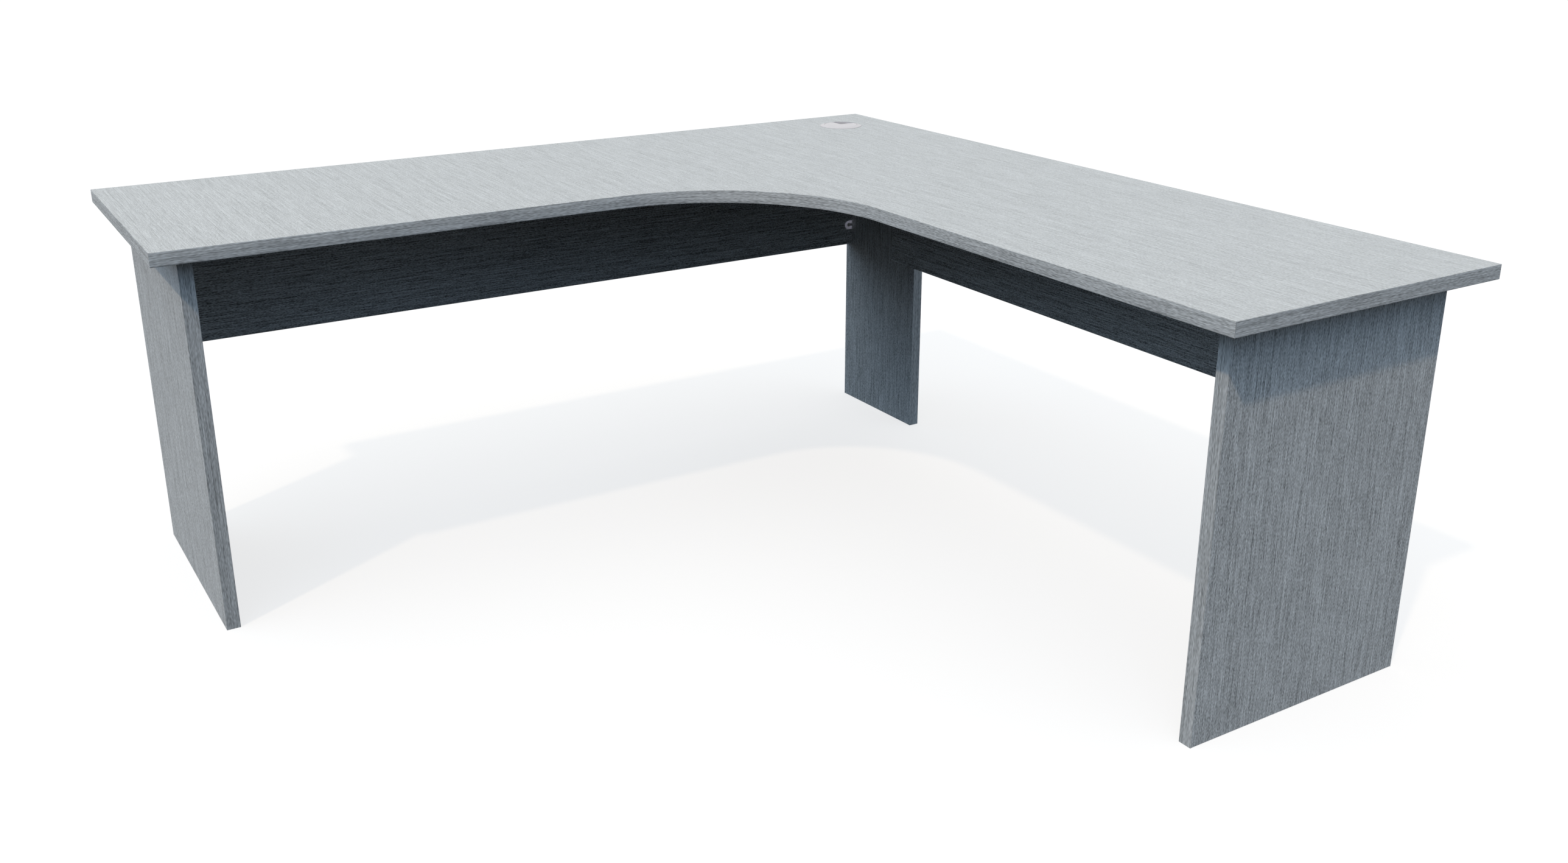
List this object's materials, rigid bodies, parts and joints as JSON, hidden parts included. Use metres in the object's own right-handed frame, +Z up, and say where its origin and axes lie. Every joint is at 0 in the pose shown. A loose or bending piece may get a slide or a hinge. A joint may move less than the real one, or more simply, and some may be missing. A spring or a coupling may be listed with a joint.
{
  "type": "office workstation",
  "caption": "L-shaped corner desk of faced board: a worktop with a curved inner front on panel legs, modesty panels under both wings and a round cable grommet in the back corner.",
  "frame": {"origin": "on the floor, under the middle of the worktop's square outline", "axes": "+Z up; the worktop's back corner points to +X +Y; the left wing runs along the +Y side and the right wing along the +X side, and the user sits on the -X -Y side"},
  "size_m": [1.8, 1.8, 0.7286],
  "materials": {
    "worktop_laminate": "satin faced board, fine grey linear grain",
    "leg_laminate": "satin faced board, fine grey linear grain",
    "panel_laminate": "satin faced board, fine grey linear grain",
    "edge_strip": "satin plastic edging, printed with grey linear grain",
    "connector_nickel": "satin nickel plating on die-cast zinc",
    "cam_zinc": "matte die-cast zinc",
    "bolt_steel": "satin zinc-plated steel",
    "screw_steel": "satin zinc-plated steel",
    "dowel_beech": "matte turned beech",
    "grommet_plastic": "satin white plastic"
  },
  "bodies": {
    "workstation": {"worktop_board": "worktop_laminate", "worktop_edge_front": "edge_strip", "worktop_edge_left_end": "edge_strip", "worktop_edge_right_end": "edge_strip", "worktop_edge_back_left": "edge_strip", "worktop_edge_back_right": "edge_strip", "left_leg_board": "leg_laminate", "left_leg_edge_front": "edge_strip", "left_leg_edge_rear": "edge_strip", "left_leg_edge_foot": "edge_strip", "right_leg_board": "leg_laminate", "right_leg_edge_front": "edge_strip", "right_leg_edge_rear": "edge_strip", "right_leg_edge_foot": "edge_strip", "corner_leg_board": "leg_laminate", "corner_leg_edge_front": "edge_strip", "corner_leg_edge_rear": "edge_strip", "corner_leg_edge_foot": "edge_strip", "left_modesty_board": "panel_laminate", "left_modesty_edge_bottom": "edge_strip", "right_modesty_board": "panel_laminate", "right_modesty_edge_bottom": "edge_strip", "right_modesty_edge_end": "edge_strip", "left_leg_housings": "connector_nickel", "left_leg_bolts": "bolt_steel", "left_leg_dowels": "dowel_beech", "right_leg_housings": "connector_nickel", "right_leg_bolts": "bolt_steel", "right_leg_dowels": "dowel_beech", "corner_leg_housings": "connector_nickel", "corner_leg_bolts": "bolt_steel", "corner_leg_dowels": "dowel_beech", "left_modesty_housings": "connector_nickel", "left_modesty_bolts": "bolt_steel", "left_modesty_dowels": "dowel_beech", "right_modesty_housings": "connector_nickel", "right_modesty_bolts": "bolt_steel", "right_modesty_dowels": "dowel_beech", "lap_screws": "screw_steel", "grommet_liner": "grommet_plastic"},
    "left_leg_cam_front": {"left_leg_cam_front": "cam_zinc"},
    "left_leg_cam_rear": {"left_leg_cam_rear": "cam_zinc"},
    "right_leg_cam_front": {"right_leg_cam_front": "cam_zinc"},
    "right_leg_cam_rear": {"right_leg_cam_rear": "cam_zinc"},
    "corner_leg_cam_front": {"corner_leg_cam_front": "cam_zinc"},
    "corner_leg_cam_rear": {"corner_leg_cam_rear": "cam_zinc"},
    "left_modesty_cam_outer_low": {"left_modesty_cam_outer_low": "cam_zinc"},
    "left_modesty_cam_outer_high": {"left_modesty_cam_outer_high": "cam_zinc"},
    "left_modesty_cam_corner_low": {"left_modesty_cam_corner_low": "cam_zinc"},
    "left_modesty_cam_corner_high": {"left_modesty_cam_corner_high": "cam_zinc"},
    "right_modesty_cam_low": {"right_modesty_cam_low": "cam_zinc"},
    "right_modesty_cam_high": {"right_modesty_cam_high": "cam_zinc"},
    "grommet_cap": {"grommet_cap": "grommet_plastic"}
  },
  "joints": [
    {"name": "left_leg_cam_front_turn", "type": "hinge", "parent": "workstation", "child": "left_leg_cam_front", "pos_m": [-0.825, 0.415, 0.6905], "axis": [1, 0, 0], "range_deg": [0, 180]},
    {"name": "left_leg_cam_rear_turn", "type": "hinge", "parent": "workstation", "child": "left_leg_cam_rear", "pos_m": [-0.825, 0.785, 0.6905], "axis": [1, 0, 0], "range_deg": [0, 180]},
    {"name": "right_leg_cam_front_turn", "type": "hinge", "parent": "workstation", "child": "right_leg_cam_front", "pos_m": [0.415, -0.825, 0.6905], "axis": [0, 1, 0], "range_deg": [0, 180]},
    {"name": "right_leg_cam_rear_turn", "type": "hinge", "parent": "workstation", "child": "right_leg_cam_rear", "pos_m": [0.785, -0.825, 0.6905], "axis": [0, 1, 0], "range_deg": [0, 180]},
    {"name": "corner_leg_cam_front_turn", "type": "hinge", "parent": "workstation", "child": "corner_leg_cam_front", "pos_m": [0.841, 0.664, 0.6905], "axis": [-1, 0, 0], "range_deg": [0, 180]},
    {"name": "corner_leg_cam_rear_turn", "type": "hinge", "parent": "workstation", "child": "corner_leg_cam_rear", "pos_m": [0.841, 0.784, 0.6905], "axis": [-1, 0, 0], "range_deg": [0, 180]},
    {"name": "left_modesty_cam_outer_low_turn", "type": "hinge", "parent": "workstation", "child": "left_modesty_cam_outer_low", "pos_m": [-0.8155, 0.823, 0.46], "axis": [0, -1, 0], "range_deg": [0, 180]},
    {"name": "left_modesty_cam_outer_high_turn", "type": "hinge", "parent": "workstation", "child": "left_modesty_cam_outer_high", "pos_m": [-0.8155, 0.823, 0.65], "axis": [0, -1, 0], "range_deg": [0, 180]},
    {"name": "left_modesty_cam_corner_low_turn", "type": "hinge", "parent": "workstation", "child": "left_modesty_cam_corner_low", "pos_m": [0.8315, 0.823, 0.46], "axis": [0, -1, 0], "range_deg": [0, 180]},
    {"name": "left_modesty_cam_corner_high_turn", "type": "hinge", "parent": "workstation", "child": "left_modesty_cam_corner_high", "pos_m": [0.8315, 0.823, 0.65], "axis": [0, -1, 0], "range_deg": [0, 180]},
    {"name": "right_modesty_cam_low_turn", "type": "hinge", "parent": "workstation", "child": "right_modesty_cam_low", "pos_m": [0.823, -0.8155, 0.46], "axis": [-1, 0, 0], "range_deg": [0, 180]},
    {"name": "right_modesty_cam_high_turn", "type": "hinge", "parent": "workstation", "child": "right_modesty_cam_high", "pos_m": [0.823, -0.8155, 0.65], "axis": [-1, 0, 0], "range_deg": [0, 180]},
    {"name": "grommet_cap_turn", "type": "hinge", "parent": "workstation", "child": "grommet_cap", "pos_m": [0.763, 0.763, 0.725], "axis": [0, 0, 1], "continuous": true}
  ]
}
